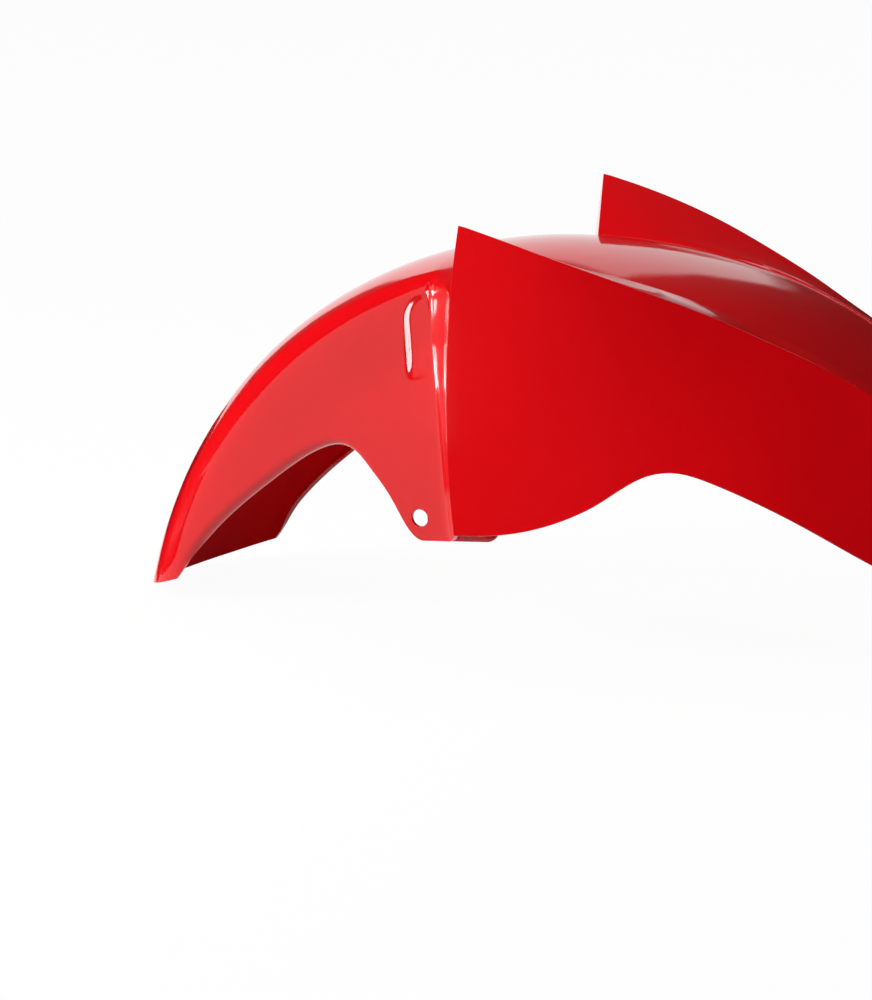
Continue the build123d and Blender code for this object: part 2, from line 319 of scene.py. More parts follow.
@dataclass
class RearArch:
    """Narrow arch over the tyre: tilted sections from the tail to the fork, with a rolled edge."""

    crown: Crown
    edge: LowerEdge
    grid: Grid
    tail_bend: float = 112.0
    tail_shoulder: float = 34.0
    tail_half_width: float = 75.0
    fork_shoulder: float = 14.0
    fork_half_width: float = 70.0
    hip_bulge: float = 6.0
    hip_height: float = 55.0
    crown_angles: Point = (176.0, 164.0, 150.0, 136.0, 122.0, 111.0)
    tilts: Point = (176.0, 163.0, 144.0, 122.0, 104.0, 94.0, 90.0)
    roll_radius: float = 7.5
    roll_turn: float = 88.0
    roll_rear: Point = (-204.0, -180.0)
    roll_front: Point = (-68.0, -36.0)
    pocket_rear_x: float = -9.0
    pocket_top_z: float = 171.0
    pocket_foot_z: Point = (100.0, 116.0)
    pocket_corner: float = 22.0
    pocket_floor: float = 69.0
    chamfer_half: float = 1.9
    chamfer_slope: float = 0.5
    outer_deck_share: float = 0.86
    dense_share: float = 0.885
    tail_foot: float = 2.05
    tail_search: Point = (-0.2, 0.9)
    tail_samples: int = 103
    edge_search: Point = (1.2, 4.5)
    edge_slack: float = 0.001
    wall_unit: float = 100.0
    deck_limit: float = 0.5
    shoulder_limit: float = 0.9
    planes: SmoothCurve = field(init=False)
    tail: tuple[Array, Array] = field(init=False)

    def __post_init__(self) -> None:
        """Fit the crown angle and tilt of the section planes to the share, and find the tail's cut."""
        back = (self.crown.top_x - self.crown.fork_plane_x) / self.crown.rear_arc
        fork_angle = 180.0 - np.degrees(np.arccos(back))
        stations = np.stack([[*self.crown_angles, fork_angle], self.tilts], axis=1)
        self.planes = SmoothCurve(stations, np.linspace(0.0, 1.0, len(stations)))
        self.tail = self.tail_shares()

    def profile(self, share: Array, place: Array) -> tuple[Array, Array]:
        """Section of the arch: crown arc to place 1, shoulder arc to place 2, then the wall.

        The wall starts at the hip, eases in to the lower half-width over the hip height, and goes on
        straight, by the wall unit for each unit of place.

        Args:
            share: Share of the way from the tail to the fork.
            place: Place along the section.

        Returns:
            Half-width and depth below the crown.
        """
        bend = self.tail_bend + (self.crown.fork_bend - self.tail_bend) * share ** 3
        shoulder = self.tail_shoulder + (self.fork_shoulder - self.tail_shoulder) * share
        low = self.tail_half_width + (self.fork_half_width - self.tail_half_width) * share ** 2
        half = low + self.hip_bulge * share
        lean = np.arcsin((half - shoulder) / (bend - shoulder))
        hip = bend - (bend - shoulder) * np.cos(lean)
        arc = np.clip(place, 0.0, 1.0) * lean
        turn = lean + np.clip(place - 1.0, 0.0, 1.0) * (pi / 2.0 - lean)
        fall = np.maximum(place - 2.0, 0.0) * self.wall_unit
        wall = half - (half - low) * smooth_step(fall, 0.0, self.hip_height)
        width = np.where(place < 2.0, half - shoulder + shoulder * np.sin(turn), wall)
        depth = np.where(place < 2.0, hip - shoulder * np.cos(turn), hip + fall)
        width = np.where(place < 1.0, bend * np.sin(arc), width)
        depth = np.where(place < 1.0, bend * (1.0 - np.cos(arc)), depth)
        return width, depth

    def surface(self, share: Array, place: Array) -> Array:
        """Points of the arch: the crown point of each section, less its depth along the tilt."""
        width, depth = self.profile(share, place)
        angle, tilt = np.moveaxis(np.radians(self.planes.at(share)), -1, 0)
        centre_z = self.crown.top_z - self.crown.rear_arc
        x = self.crown.top_x + self.crown.rear_arc * np.cos(angle) - depth * np.cos(tilt)
        z = centre_z + self.crown.rear_arc * np.sin(angle) - depth * np.sin(tilt)
        return np.stack([x, width, z], axis=-1)

    def past_cut(self, points: Array) -> Array:
        """Which points lie beyond the line that ends the tail."""
        return points[:, 2] <= self.edge.tail_cut(points[:, 0])

    def tail_shares(self) -> tuple[Array, Array]:
        """Places along the tail's cut and the share at each, found by halving."""
        places = np.linspace(0.0, self.tail_foot, self.tail_samples)
        low, high = (np.full_like(places, share) for share in self.tail_search)
        return places, halve(low, high, lambda share: self.past_cut(self.surface(share, places)))

    def row_share(self, row: Array, place: Array) -> Array:
        """Share at each place of a row: the rows fan out from the tail's cut to the fork plane.

        Args:
            row: 0 at the tail's cut and 1 at the fork plane.
            place: Place along the section.

        Returns:
            The shares.
        """
        tail = np.interp(place, *self.tail)
        return tail + (1.0 - tail) * row

    def above_edge(self, row: Array, place: Array) -> Array:
        """Which rows are still above the lower edge at the given places."""
        points = self.surface(self.row_share(row, place), place)
        return points[:, 2] >= self.edge.height(points[:, 0]) - self.edge_slack

    def row_ends(self, row: Array) -> Array:
        """Place where each row meets the lower edge, found by halving."""
        low, high = (np.full_like(row, place) for place in self.edge_search)
        return halve(low, high, lambda place: self.above_edge(row, place))

    def columns(self, end: Array) -> tuple[Array, Array]:
        """Places of all columns of the rows, and the turn of the rolled edge at each.

        Args:
            end: Place of the lower edge in each row.

        Returns:
            Places and turns, rows by columns.
        """
        grid = self.grid
        start = end - self.roll_radius / self.wall_unit
        first = np.minimum(1.0, self.deck_limit * start)
        second = np.minimum(2.0, self.shoulder_limit * start)
        inner = np.linspace(0.0, self.outer_deck_share, grid.deck + 1)
        outer = np.linspace(self.outer_deck_share, 1.0, grid.outer_deck + 1)[1:]
        turn = steps(grid.roll)
        places = np.concatenate(
            [
                first[:, None] * np.concatenate([inner, outer]),
                spread(first, second, steps(grid.shoulder)),
                spread(second, start, grid.wall_spread()),
                spread(start, end, turn),
            ],
            axis=1,
        )
        turns = np.zeros_like(places)
        turns[:, -grid.roll:] = turn * radians(self.roll_turn)
        return places, turns

    def pocket_depth(self, x: Array, z: Array) -> Array:
        """Distance inside the outline of the fork tube's pocket, which has a rounded rear corner."""
        right = self.pocket_rear_x + self.pocket_corner - x
        above = z - (self.pocket_top_z - self.pocket_corner)
        outside = np.hypot(np.maximum(right, 0.0), np.maximum(above, 0.0))
        inside = np.minimum(np.maximum(right, above), 0.0)
        return self.pocket_corner - outside - inside

    def rows(self) -> Array:
        """All rows of the arch, with the pocket pressed in and the lower edge rolled inwards.

        The roll is a quarter circle: the wall moves in by the radius times one less the cosine of the
        turn while it goes down by the radius times the sine.

        Returns:
            Points, rows by columns by three.
        """
        grid = self.grid
        row = np.concatenate(
            [
                np.linspace(0.0, self.dense_share, grid.arch_rows + 1)[:-1],
                np.linspace(self.dense_share, 1.0, grid.pocket_rows + 1),
            ]
        )
        end = self.row_ends(row)
        places, turns = self.columns(end)
        edge = self.surface(self.row_share(row, end), end)[:, 0]
        rolled = smooth_step(edge, *self.roll_rear) * (1.0 - smooth_step(edge, *self.roll_front))
        rolled = rolled[:, None]
        drop = self.roll_radius / self.wall_unit
        eased = np.sin(turns) / sin(radians(self.roll_turn)) - turns / radians(self.roll_turn)
        places = places + np.where(turns > 0.0, rolled * drop * eased, 0.0)
        points = self.surface(self.row_share(row[:, None], places), places)
        points[:, 0, 1] = 0.0
        points[..., 1] -= rolled * self.roll_radius * (1.0 - np.cos(turns))
        return self.press_pocket(points)

    def press_pocket(self, points: Array) -> Array:
        """Press the pocket in, with a chamfer along its rear and top edges.

        The press grows with the distance inside the outline, at the chamfer's slope over the chamfer,
        stays the same after it, and never goes past the floor.

        Args:
            points: Points of the arch.

        Returns:
            The same points with the pocket.
        """
        depth = self.pocket_depth(points[..., 0], points[..., 2])
        half = self.chamfer_half
        press = self.chamfer_slope * np.clip(depth + half, 0.0, 2.0 * half)
        fade = smooth_step(points[..., 2], *self.pocket_foot_z)
        room = np.maximum(points[..., 1] - self.pocket_floor, 0.0)
        points[..., 1] -= fade * np.minimum(press, room)
        return points


@dataclass
class Wing:
    """Wide front: fork hollow, side panel, fin and beak, drawn in plan at three heights."""

    crown: Crown
    edge: LowerEdge
    grid: Grid
    levels: Point = (-60.0, 100.0, 260.0)
    panel_x: Point = (130.0, 212.0, 305.0, 360.0, 410.0, 455.0)
    panel_half_widths: tuple[Point, ...] = (
        (112.0, 118.0, 117.0, 101.0, 80.0, 58.0),
        (111.5, 102.5, 80.5, 61.0, 45.0, 32.0),
        (112.0, 87.0, 43.0, 23.0, 14.0, 10.0),
    )
    edge_x: Point = (60.0, 44.3, 60.5)
    edge_half_width: Point = (109.0, 111.3, 113.5)
    corner_x: Point = (33.0, 14.5, 10.5)
    corner_half_width: Point = (72.5, 70.0, 80.0)
    nose_x: Point = (506.0, 500.0, 494.0)
    hollow: float = 3.0
    corner_share: float = 0.22
    lead_share: float = 0.4
    corner_soft: float = 0.09
    foot_line: tuple[Point, ...] = (
        (80.4, 58.0), (120.0, 60.0), (160.0, 62.0), (205.0, 63.0), (250.0, 62.0), (300.0, 56.0),
    )
    foot_width_share: float = 0.82
    ridge: tuple[Point, ...] = (
        (57.6, 234.0), (90.0, 227.0), (120.0, 219.5), (160.0, 208.5), (205.0, 194.5), (250.0, 179.0),
        (300.0, 156.5), (340.0, 135.0), (420.0, 80.0), (520.0, 0.0),
    )
    ridge_soft: float = 2.0
    foot_soft: float = 3.0
    shoulder_reach: float = 10.9
    shoulder_weight: float = 0.79
    sharp_share: float = 0.7
    ridge_fade: float = 0.1
    foot_fade: float = 0.12
    lag_share: float = 0.3
    lag_room: float = 40.0
    first_height: float = 180.0
    corner_samples: int = 11
    ridge_samples: int = 800
    foot_samples: int = 400
    panels: list[SmoothCurve] = field(init=False)
    ridge_line: Array = field(init=False)
    foot_curve: Array = field(init=False)
    lead_gap: tuple[Array, Array] = field(init=False)

    def __post_init__(self) -> None:
        """Fit the panel at each height, with common knots, and the lines of the ridge and the foot."""
        panels = []
        for level in range(len(self.levels)):
            half = [(self.edge_x[level], self.edge_half_width[level])]
            half += list(zip(self.panel_x, self.panel_half_widths[level]))
            far = [(x, -y) for x, y in reversed(half)]
            panels.append(np.array(half + [(self.nose_x[level], 0.0)] + far))
        chords = np.mean([np.linalg.norm(np.diff(p, axis=0), axis=1) for p in panels], axis=0)
        knots = np.concatenate([[0.0], np.cumsum(chords)])
        knots = knots / knots[len(self.panel_x) + 1]
        self.panels = [SmoothCurve(points, knots) for points in panels]
        self.ridge_line = SmoothCurve(list(self.ridge)).polyline(self.ridge_samples).T
        self.foot_curve = SmoothCurve(list(self.foot_line)).polyline(self.foot_samples).T

    def at_height(self, plans: list[Array], z: Array) -> Array:
        """Points at height z on the parabola through the plans at the three heights.

        Args:
            plans: Plan points at each of the three heights.
            z: Heights.

        Returns:
            Points with their heights.
        """
        share = (z - self.levels[0]) / (self.levels[2] - self.levels[0])
        low = 2.0 * (share - 0.5) * (share - 1.0)
        middle = -4.0 * share * (share - 1.0)
        high = 2.0 * share * (share - 0.5)
        plan = low[..., None] * plans[0] + middle[..., None] * plans[1] + high[..., None] * plans[2]
        return np.concatenate([plan, z[..., None]], axis=-1)

    def panel(self, run: Array, z: Array) -> Array:
        """Points of the side panel: run goes from 0 at the wing's rear edge to 1 at the nose."""
        return self.at_height([curve.at(run) for curve in self.panels], z)

    def hollow_plan(self, level: int, run: Array) -> Array:
        """Plan of the fork hollow at one height: a straight lead-in, then a bowed line to the edge.

        Args:
            level: Which of the three heights.
            run: 0 at the fork plane and 1 at the wing's rear edge.

        Returns:
            Plan points.
        """
        corner = np.array([self.corner_x[level], self.corner_half_width[level]])
        end = np.array([self.edge_x[level], self.edge_half_width[level]])
        start = np.array([self.crown.fork_plane_x, corner[1]])
        facing = np.array([end[1] - corner[1], corner[0] - end[0]])
        bow = 0.5 * (corner + end) + 2.0 * self.hollow * facing / np.linalg.norm(facing)
        lead = np.clip(run / self.corner_share, 0.0, 1.0)
        sweep = np.clip((run - self.corner_share) / (1.0 - self.corner_share), 0.0, 1.0)
        first = between(start, corner, lead)
        curve = between(between(corner, bow, sweep), between(bow, end, sweep), sweep)
        return np.where((run < self.corner_share)[..., None], first, curve)

    def fork_wall(self, run: Array, z: Array) -> Array:
        """Points of the fork hollow, its corner rounded by averaging the plan over a short run."""
        reach = np.minimum(self.corner_soft, np.minimum(run, 1.0 - run))
        offsets = np.linspace(-1.0, 1.0, self.corner_samples)
        plans = [
            np.mean([self.hollow_plan(level, run + reach * offset) for offset in offsets], axis=0)
            for level in range(len(self.levels))
        ]
        return self.at_height(plans, z)

    def lowest(self, run: Array, on_panel: bool) -> Array:
        """Height of the lower edge on the panel or the fork hollow, settled by repetition."""
        place = self.panel if on_panel else self.fork_wall
        z = np.zeros_like(run)
        for _ in range(SETTLING_STEPS):
            z = 0.5 * z + 0.5 * self.edge.height(place(run, z)[..., 0])
        return z

    def fork_rows(self, last: Array) -> Array:
        """Rows from the fork plane round the fork hollow to the wing's rear edge.

        The deck runs straight in plan from the middle to the fin's foot line and on to the top of the
        hollow. The shoulder is a conic arc at the fork plane that tightens into a sharp edge.

        Args:
            last: The rear arch's last row.

        Returns:
            Points, rows by columns by three.
        """
        grid = self.grid
        run = steps(grid.fork_rows)
        source = last[grid.deck + grid.outer_deck + grid.shoulder:]
        self.follow(source)
        top_z = np.full_like(run, self.first_height)
        for _ in range(SETTLING_STEPS):
            top = self.led_wall(run, top_z)
            top_z = self.crown.deck(top[:, 0], top[:, 1])
        top = self.led_wall(run, top_z)
        bottom_z = self.lowest(run, on_panel=False)
        foot = between(last[grid.deck, :2], np.array(self.foot_line[0]), run)
        middle = np.stack([foot[:, 0], np.zeros_like(run)], axis=-1)
        inward = foot - top[:, :2]
        reach = self.shoulder_reach / np.linalg.norm(inward, axis=-1)
        join = between(top[:, :2], foot, reach)
        deck_share = np.linspace(0.0, 1.0, grid.deck + 1)
        inner = between(middle[:, None], foot[:, None], deck_share[None, :])
        outer = between(foot[:, None], join[:, None], steps(grid.outer_deck)[None, :])
        deck = self.crown.on_deck(np.concatenate([inner, outer], axis=1))
        shoulder = self.shoulder_rows(run, deck[:, -1], top)
        shares = (source[0, 2] - source[1:, 2]) / (source[0, 2] - source[-1, 2])
        z = spread(shoulder[:, -1, 2], bottom_z, shares)
        wall = self.led_wall(np.broadcast_to(run[:, None], z.shape), z)
        return np.concatenate([deck, shoulder, wall], axis=1)

    def follow(self, wall: Array) -> None:
        """Keep how far the arch's last wall stands off the fork hollow's plan at each height."""
        plan = self.fork_wall(np.zeros(len(wall)), wall[:, 2])
        self.lead_gap = (wall[::-1, 2], (wall[:, 1] - plan[:, 1])[::-1])

    def led_wall(self, run: Array, z: Array) -> Array:
        """Points of the fork hollow, led in from the arch's wall over the first part of the run.

        Args:
            run: 0 at the fork plane and 1 at the wing's rear edge.
            z: Heights.

        Returns:
            The points.
        """
        points = self.fork_wall(run, z)
        fade = 1.0 - smooth_step(run, 0.0, self.lead_share)
        points[..., 1] += fade * np.interp(z, *self.lead_gap)
        return points

    def shoulder_rows(self, run: Array, join: Array, top: Array) -> Array:
        """Shoulder between deck and hollow: a weighted conic that eases into its control lines.

        Args:
            run: Run of each row.
            join: Where each row's shoulder leaves the deck.
            top: Sharp corner of deck and hollow in each row.

        Returns:
            Points, rows by columns by three.
        """
        share = steps(self.grid.shoulder)
        hip = self.led_wall(run, top[:, 2] - self.shoulder_reach)
        first = (1.0 - share) ** 2
        second = 2.0 * self.shoulder_weight * share * (1.0 - share)
        third = share ** 2
        total = first + second + third
        conic = join[:, None] * (first / total)[:, None] + top[:, None] * (second / total)[:, None]
        conic = conic + hip[:, None] * (third / total)[:, None]
        lead = np.clip(2.0 * share, 0.0, 1.0)
        deck = between(join[:, None], top[:, None], lead[None, :])
        deck[..., 2] = self.crown.deck(deck[..., 0], deck[..., 1])
        fall = np.clip(2.0 * share - 1.0, 0.0, 1.0)
        z = spread(top[:, 2], hip[:, 2], fall)
        wall = self.led_wall(np.broadcast_to(run[:, None], z.shape), z)
        sharp = np.where((share < 0.5)[None, :, None], deck, wall)
        ease = smooth_step(run, 0.0, self.sharp_share)[:, None, None]
        return conic * (1.0 - ease) + sharp * ease

    def top_line(self, run: Array) -> Array:
        """Top of the side panel: the fin's ridge, then the deck, settled by repetition."""
        z = np.full_like(run, self.first_height)
        soft = self.ridge_soft * smooth_step(run, 0.0, self.ridge_fade)
        for _ in range(SETTLING_STEPS):
            point = self.panel(run, z)
            ridge = np.interp(point[:, 0], *self.ridge_line)
            deck = self.crown.deck(point[:, 0], point[:, 1])
            z = 0.5 * z + 0.5 * soft_max(ridge, deck, soft)
        return self.panel(run, z)

    def wing_rows(self, rear: Array) -> Array:
        """Rows from the wing's rear edge to the nose: deck, fin slope, and panel.

        The slope is the straight line from the foot to the ridge, softened where it leaves the deck.
        The panel goes down from the ridge in two stretches, split as the rear edge is at the deck.

        Args:
            rear: Last row round the fork hollow.

        Returns:
            Points, rows by columns by three.
        """
        grid = self.grid
        half = grid.shoulder // 2
        heel = grid.deck + grid.outer_deck + half
        run = np.linspace(0.0, 1.0, grid.wing_rows + 1)
        top = self.top_line(run)
        bottom_z = self.lowest(run, on_panel=True)
        lag = (self.foot_line[0][0] - top[0, 0]) * (1.0 - smooth_step(run, 0.0, self.lag_share))
        foot_x = top[:, 0] + lag
        foot_y = np.interp(foot_x, *self.foot_curve)
        foot_y = np.minimum(foot_y, self.foot_width_share * top[:, 1] + self.lag_room * (lag > 0.0))
        foot = np.stack([foot_x, foot_y], axis=-1)
        middle = np.stack([foot_x, np.zeros_like(run)], axis=-1)
        deck_share = np.linspace(0.0, 1.0, grid.deck + 1)
        deck = self.crown.on_deck(between(middle[:, None], foot[:, None], deck_share[None, :]))
        slope_share = steps(grid.outer_deck + half)
        slope = between(deck[:, -1][:, None], top[:, None], slope_share[None, :])
        under = self.crown.deck(slope[..., 0], slope[..., 1])
        soft = self.foot_soft * smooth_step(run, 0.0, self.foot_fade)[:, None] * (1.0 - slope_share)
        slope[..., 2] = soft_max(slope[..., 2], under, soft)
        slope[:, -1] = top
        rear_z = rear[heel:, 2]
        split = (top[0, 2] - rear_z[0]) / (top[0, 2] - rear_z[-1])
        shares = (rear_z[0] - rear_z[1:]) / (rear_z[0] - rear_z[-1])
        fin_share = np.linspace(0.0, split, grid.fin + 1)[1:]
        shares = np.concatenate([fin_share, split + (1.0 - split) * shares])
        z = spread(top[:, 2], bottom_z, shares)
        wall = self.panel(np.broadcast_to(run[:, None], z.shape), z)
        return np.concatenate([deck, slope, wall], axis=1)

    def fin_rear(self, rear: Array, first: Array) -> Array:
        """Rear face of the fin: straight lines from the deck line to the slope's first row.

        Args:
            rear: Last row round the fork hollow.
            first: First row of the wing.

        Returns:
            Points, rows by columns by three, drawn into the wing's rear edge at the outer end.
        """
        grid = self.grid
        count = grid.outer_deck + grid.shoulder // 2
        base = rear[grid.deck:grid.deck + count + 1]
        slope = first[grid.deck:grid.deck + count + 1]
        edge = first[grid.deck + count:grid.deck + count + grid.fin + 1][::-1]
        rise = np.linspace(0.0, 1.0, grid.fin + 1)
        face = between(base[None, :], slope[None, :], np.repeat(rise[:, None], count + 1, axis=1))
        across = np.linspace(0.0, 1.0, count + 1)
        pull = edge - face[:, -1]
        return face + across[None, :, None] * pull[:, None, :]


def add_object(name: str, data: ID) -> Object:
    """New object, linked to the scene."""
    item = bpy.data.objects.new(name, data)
    bpy.context.scene.collection.objects.link(item)
    return item


def prism(name: str, first: Array, second: Array) -> Object:
    """Closed solid between two rings of points.

    Args:
        name: Name of the solid.
        first: Ring at one end, in millimetres.
        second: Ring at the other end, point for point.

    Returns:
        The solid, with its faces turned outwards.
    """
    count = len(first)
    ring = np.arange(count)
    following = np.roll(ring, -1)
    band = np.stack([ring, ring + count, following + count, following], axis=-1).tolist()
    faces = band + [ring[::-1].tolist(), (ring + count).tolist()]
    mesh = bpy.data.meshes.new(name)
    mesh.from_pydata((np.concatenate([first, second]) * MM).tolist(), [], faces)
    work = bmesh.new()
    work.from_mesh(mesh)
    bmesh.ops.recalc_face_normals(work, faces=work.faces)
    work.to_mesh(mesh)
    work.free()
    return add_object(name, mesh)


def new_material(name: str) -> Material:
    """New material with nodes."""
    material = bpy.data.materials.new(name)
    material.use_nodes = True
    return material


def set_inputs(node: Node, values: dict[str, float | Point]) -> None:
    """Set the values of a node's inputs, by name."""
    for socket, value in values.items():
        node.inputs[socket].default_value = value


def combine(tree: NodeTree, operation: str, first: Socket, second: Socket | float) -> Socket:
    """Add a maths node to a tree.

    Args:
        tree: Tree to add it to.
        operation: What it does with its two inputs.
        first: First input.
        second: Second input, or its value.

    Returns:
        The socket of the result.
    """
    node = tree.nodes.new("ShaderNodeMath")
    node.operation = operation
    tree.links.new(first, node.inputs[0])
    if isinstance(second, float):
        node.inputs[1].default_value = second
    else:
        tree.links.new(second, node.inputs[1])
    return node.outputs["Value"]


class ShellMesh:
    """Collects grids of points in millimetres as one mesh in metres."""

    def __init__(self) -> None:
        """Start empty."""
        self.points: list[Array] = []
        self.faces: list[Array] = []
        self.count = 0

    def add_grid(self, grid: Array, side: Side) -> None:
        """Add a grid whose rows and columns turn outwards on the left side.

        Args:
            grid: Points, rows by columns by three.
            side: Which half it belongs to.
        """
        rows, columns = grid.shape[:2]
        index = np.arange(rows * columns).reshape(rows, columns) + self.count
        corners = [index[:-1, :-1], index[1:, :-1], index[1:, 1:], index[:-1, 1:]]
        if side is Side.RIGHT:
            corners.reverse()
        mirror = np.array([1.0, side.value, 1.0])
        self.points.append(grid.reshape(-1, 3) * mirror * MM)
        self.faces.append(np.stack(corners, axis=-1).reshape(-1, 4))
        self.count += rows * columns

    def to_object(self, name: str) -> Object:
        """Make a smooth object with doubled points merged.

        Args:
            name: Name of the object.

        Returns:
            The object, linked to the scene.
        """
        mesh = bpy.data.meshes.new(name)
        mesh.from_pydata(np.concatenate(self.points).tolist(), [], np.concatenate(self.faces).tolist())
        work = bmesh.new()
        work.from_mesh(mesh)
        bmesh.ops.remove_doubles(work, verts=work.verts, dist=WELD)
        bmesh.ops.dissolve_degenerate(work, edges=work.edges, dist=WELD)
        work.to_mesh(mesh)
        work.free()
        mesh.polygons.foreach_set("use_smooth", np.ones(len(mesh.polygons), dtype=bool))
        return add_object(name, mesh)


@dataclass(frozen=True)
class EarFlange:
    """Flat flange of a fork ear that runs on behind the wing."""

    edge: LowerEdge
    rear_x: float = 13.0
    top_z: float = 34.0
    outer_y: float = 69.9
    inner_y: float = 67.1
    corner: float = 9.0
    corner_points: int = 9

    def outline(self) -> Array:
        """Outline in side view: straight edges with two quarter rounds at the front.

        Returns:
            Points in the plane, anticlockwise.
        """
        toe = np.array(self.edge.ear_toe)
        turn = np.linspace(-pi / 2.0, 0.0, self.corner_points)
        lower = np.stack([np.cos(turn), np.sin(turn)], axis=-1) * self.corner
        lower += toe + np.array([-self.corner, self.corner])
        slope = (toe[1] - self.edge.ear_low[1]) / (toe[0] - self.edge.ear_low[0])
        lower[:, 1] += (lower[:, 0] - toe[0]) * slope * np.linspace(1.0, 0.0, self.corner_points)
        upper = np.stack([np.cos(turn + pi / 2.0), np.sin(turn + pi / 2.0)], axis=-1) * self.corner
        upper += np.array([toe[0] - self.corner, self.top_z - self.corner])
        rear = np.array(
            [[self.rear_x, self.top_z], [self.rear_x, self.edge.ear_bottom(self.rear_x)]]
        )
        return np.concatenate([lower, upper, rear])

    def build(self, side: Side) -> Object:
        """Plate between two copies of the outline.

        Args:
            side: Which ear it belongs to.

        Returns:
            The plate.
        """
        outline = self.outline()
        mirror = np.array([1.0, side.value, 1.0])
        outer = np.insert(outline, 1, self.outer_y, axis=1) * mirror
        inner = np.insert(outline, 1, self.inner_y, axis=1) * mirror
        return prism("ear_flange_" + side.name.lower(), outer, inner)


class Effects:
    """Shader node groups that both finishes use."""

    cloud_detail: float = 4.0
    relief_detail: float = 1.0

    def __init__(self) -> None:
        """Build the groups."""
        self.cloud = self.clouded_tint()
        self.relief = self.noise_relief()

    def group(
        self, name: str, detail: float, inputs: dict[str, str], outputs: dict[str, str]
    ) -> tuple[NodeTree, Node, Node, Socket]:
        """Start a node group that is driven by one noise.

        Args:
            name: Name of the group.
            detail: Detail of the noise.
            inputs: Kind of each input besides the noise's place and scale, by name.
            outputs: Kind of each output, by name.

        Returns:
            The group, its input node, its output node and the noise.
        """
        tree = bpy.data.node_groups.new(name, "ShaderNodeTree")
        inputs = {"Place": "Vector", "Scale": "Float", **inputs}
        for direction, sockets in (("INPUT", inputs), ("OUTPUT", outputs)):
            for socket, kind in sockets.items():
                tree.interface.new_socket(socket, in_out=direction, socket_type="NodeSocket" + kind)
        entry = tree.nodes.new("NodeGroupInput")
        noise = tree.nodes.new("ShaderNodeTexNoise")
        noise.inputs["Detail"].default_value = detail
        tree.links.new(entry.outputs["Place"], noise.inputs["Vector"])
        tree.links.new(entry.outputs["Scale"], noise.inputs["Scale"])
        return tree, entry, tree.nodes.new("NodeGroupOutput"), noise.outputs["Fac"]

    def clouded_tint(self) -> NodeTree:
        """Group that mixes two colours by soft clouds of noise.

        Returns:
            The group, with the mixed colour and the clouds as a mask.
        """
        tree, entry, result, noise = self.group(
            "clouded_tint",
            self.cloud_detail,
            {"Pale": "Color", "Deep": "Color"},
            {"Colour": "Color", "Mask": "Float"},
        )
        tint = tree.nodes.new("ShaderNodeMix")
        tint.data_type = "RGBA"
        tree.links.new(noise, tint.inputs["Factor"])
        tree.links.new(entry.outputs["Pale"], tint.inputs["A"])
        tree.links.new(entry.outputs["Deep"], tint.inputs["B"])
        tree.links.new(tint.outputs["Result"], result.inputs["Colour"])
        tree.links.new(noise, result.inputs["Mask"])
        return tree

    def noise_relief(self) -> NodeTree:
        """Group that tilts a normal by one layer of noise.

        Returns:
            The group, with the tilted normal.
        """
        tree, entry, result, noise = self.group(
            "noise_relief",
            self.relief_detail,
            {"Height": "Float", "Normal": "Vector"},
            {"Normal": "Vector"},
        )
        layer = tree.nodes.new("ShaderNodeBump")
        tree.links.new(noise, layer.inputs["Height"])
        tree.links.new(entry.outputs["Height"], layer.inputs["Distance"])
        tree.links.new(entry.outputs["Normal"], layer.inputs["Normal"])
        tree.links.new(layer.outputs["Normal"], result.inputs["Normal"])
        return tree

    def use(self, material: Material, tree: NodeTree, values: dict[str, float | Point]) -> Node:
        """Add a group to a material, placed by the object's own coordinates.

        Args:
            material: Material to add it to.
            tree: Group to add.
            values: Values of its other sockets.

        Returns:
            The group's node.
        """
        nodes = material.node_tree.nodes
        node = nodes.new("ShaderNodeGroup")
        node.node_tree = tree
        set_inputs(node, values)
        place = nodes.new("ShaderNodeTexCoord")
        material.node_tree.links.new(place.outputs["Object"], node.inputs["Place"])
        return node

    def tinted(self, name: str, finish: "GlossPaint | MattInside") -> tuple[Material, Socket]:
        """Start a material with the clouded colour of a finish.

        Args:
            name: Name of the material.
            finish: Finish whose two reds are mixed.

        Returns:
            The material and the mask of the clouds.
        """
        material = new_material(name)
        reds = {"Pale": (*finish.base, 1.0), "Deep": (*finish.deep, 1.0)}
        cloud = self.use(material, self.cloud, {"Scale": finish.cloud_scale, **reds})
        shader = material.node_tree.nodes["Principled BSDF"]
        material.node_tree.links.new(cloud.outputs["Colour"], shader.inputs["Base Color"])
        return material, cloud.outputs["Mask"]

    def tilted(self, material: Material, normal: Socket, scale: float, height: float) -> Socket:
        """Add relief to a material.

        Args:
            material: Material to add it to.
            normal: Normal to tilt.
            scale: Scale of the noise.
            height: Height of the relief in millimetres.

        Returns:
            The tilted normal.
        """
        node = self.use(material, self.relief, {"Scale": scale, "Height": height * MM})
        material.node_tree.links.new(normal, node.inputs["Normal"])
        return node.outputs["Normal"]


